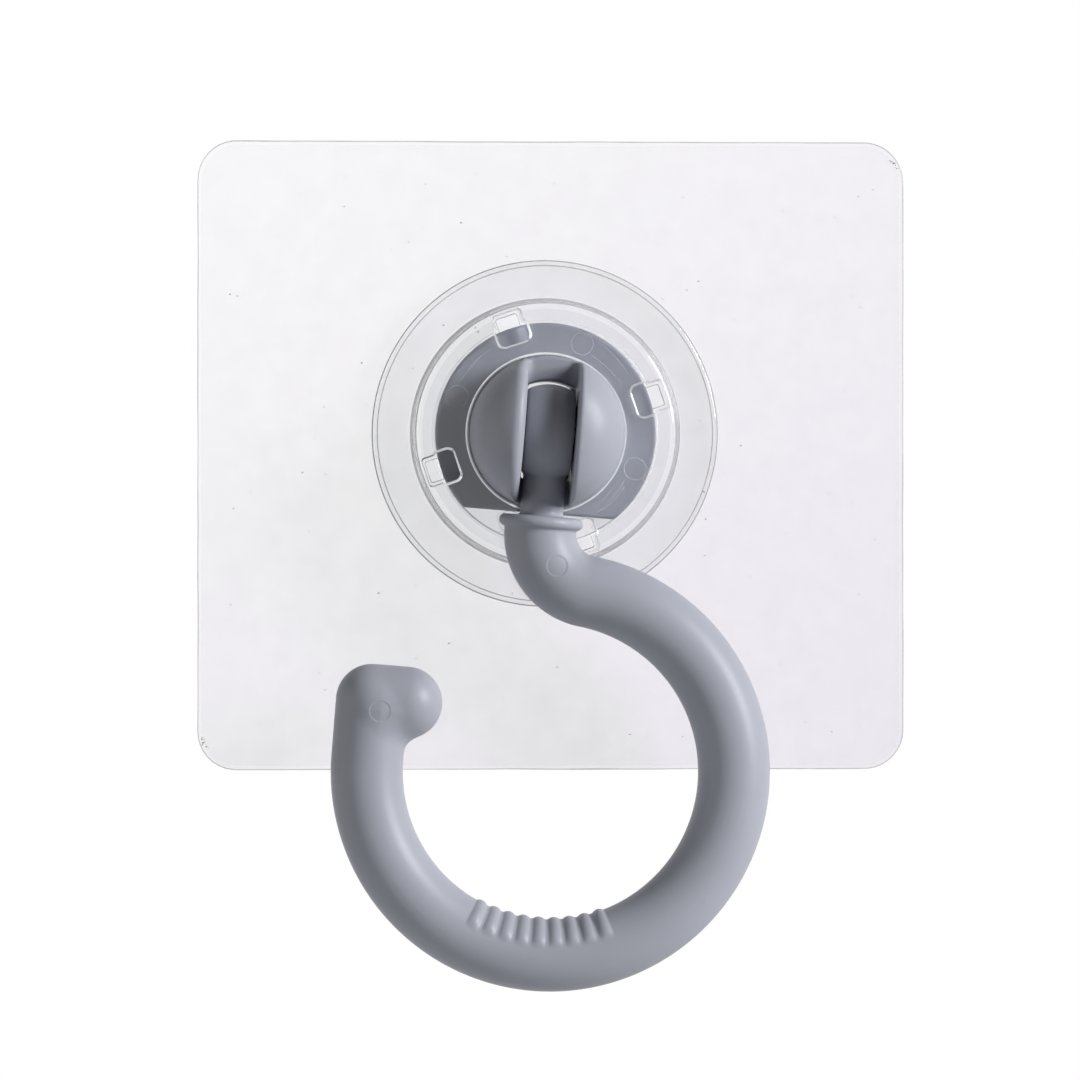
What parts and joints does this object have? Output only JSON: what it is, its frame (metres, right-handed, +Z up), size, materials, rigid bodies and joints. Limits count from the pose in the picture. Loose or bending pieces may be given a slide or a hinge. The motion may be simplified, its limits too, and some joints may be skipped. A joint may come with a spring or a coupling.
{
  "type": "adhesive swivel hook",
  "caption": "Clear square self-adhesive wall patch with a round housing, a turret that swivels in it and a grey S-shaped hook that folds in the turret's slot.",
  "frame": {"origin": "centre of the adhesive's back face, on the wall", "axes": "+Z up the wall, +X to the right seen from the front, +Y into the wall; the front faces -Y"},
  "size_m": [0.09, 0.0206, 0.1074],
  "materials": {
    "clear_adhesive": "clear soft gel",
    "clear_film": "clear, slightly frosted",
    "clear_plastic": "clear, glossy",
    "grey_plastic": "satin moulded",
    "pin_steel": "drawn"
  },
  "bodies": {
    "base": {"adhesive_layer": "clear_adhesive", "patch_film": "clear_film", "bond_ring": "clear_adhesive", "housing": "clear_plastic", "back_plate": "clear_plastic"},
    "swivel": {"turret": "grey_plastic", "pivot_pin": "pin_steel"},
    "hook": {"hook": "grey_plastic"}
  },
  "joints": [
    {"name": "turret_turn", "type": "hinge", "parent": "base", "child": "swivel", "pos_m": [-0.0009, -0.004, 0.00278], "axis": [0, 1, 0], "continuous": true},
    {"name": "hook_fold", "type": "hinge", "parent": "swivel", "child": "hook", "pos_m": [-0.0009, -0.01115, 0.00278], "axis": [-0.9968, 0, 0.0802], "range_deg": [0, 180]}
  ]
}
